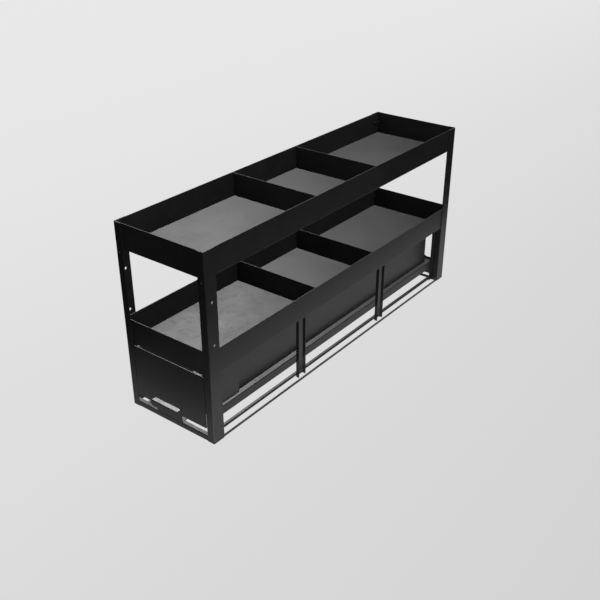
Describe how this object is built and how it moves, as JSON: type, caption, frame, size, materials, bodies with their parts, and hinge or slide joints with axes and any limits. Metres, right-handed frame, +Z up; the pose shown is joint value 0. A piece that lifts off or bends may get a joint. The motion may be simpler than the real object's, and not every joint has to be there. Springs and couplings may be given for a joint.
{
  "type": "van cabinet",
  "caption": "Long low van cabinet of folded black sheet steel: divided open trays on angle posts above a drawer that slides out at one end.",
  "frame": {"origin": "on the floor, under the middle of the closed cabinet's box, its pull included", "axes": "+X along the length away from the drawer's mouth, +Y from the front with the floor rails in view to the rear that stands against the van's wall, +Z up"},
  "size_m": [1.522, 0.3776, 0.686],
  "materials": {
    "black_paint": "satin powder coat",
    "black_zinc": "black zinc plated",
    "nylon": "matte",
    "rubber": "matte"
  },
  "bodies": {
    "cabinet": {"front_left_post": "black_paint", "front_right_post": "black_paint", "rear_left_post": "black_paint", "rear_right_post": "black_paint", "mid_tray": "black_paint", "upper_tray": "black_paint", "mid_left_divider": "black_paint", "mid_right_divider": "black_paint", "upper_left_divider": "black_paint", "upper_right_divider": "black_paint", "mid_front_left_wall_nut": "black_zinc", "mid_front_left_end_nut": "black_zinc", "mid_front_right_wall_nut": "black_zinc", "mid_front_right_end_nut": "black_zinc", "mid_rear_left_wall_nut": "black_zinc", "mid_rear_left_end_nut": "black_zinc", "mid_rear_right_wall_nut": "black_zinc", "mid_rear_right_end_nut": "black_zinc", "upper_front_left_wall_nut": "black_zinc", "upper_front_left_end_nut": "black_zinc", "upper_front_right_wall_nut": "black_zinc", "upper_front_right_end_nut": "black_zinc", "upper_rear_left_wall_nut": "black_zinc", "upper_rear_left_end_nut": "black_zinc", "upper_rear_right_wall_nut": "black_zinc", "upper_rear_right_end_nut": "black_zinc", "front_left_upright": "black_paint", "rear_left_upright": "black_paint", "front_right_upright": "black_paint", "rear_right_upright": "black_paint", "front_left_end_upright": "black_paint", "rear_left_end_upright": "black_paint", "front_right_end_upright": "black_paint", "rear_right_end_upright": "black_paint", "front_runner": "black_paint", "rear_runner": "black_paint", "front_floor_strip": "black_paint", "rear_floor_strip": "black_paint", "front_floor_rail": "black_paint", "rear_floor_rail": "black_paint", "left_end_rail": "black_paint", "right_end_frame": "black_paint", "front_mouth_pad": "nylon", "rear_mouth_pad": "nylon", "front_travel_stop": "black_paint", "rear_travel_stop": "black_paint", "front_end_buffer": "rubber", "rear_end_buffer": "rubber"},
    "drawer": {"drawer_pan": "black_paint", "drawer_front": "black_paint", "drawer_pull": "black_paint", "front_drawer_bracket": "black_paint", "rear_drawer_bracket": "black_paint", "front_drawer_glide": "nylon", "rear_drawer_glide": "nylon", "front_drawer_rim_cap": "nylon", "rear_drawer_rim_cap": "nylon"}
  },
  "joints": [
    {"name": "drawer_slide", "type": "slide", "parent": "cabinet", "child": "drawer", "axis": [-1, 0, 0], "range_m": [0, 0.95]}
  ]
}
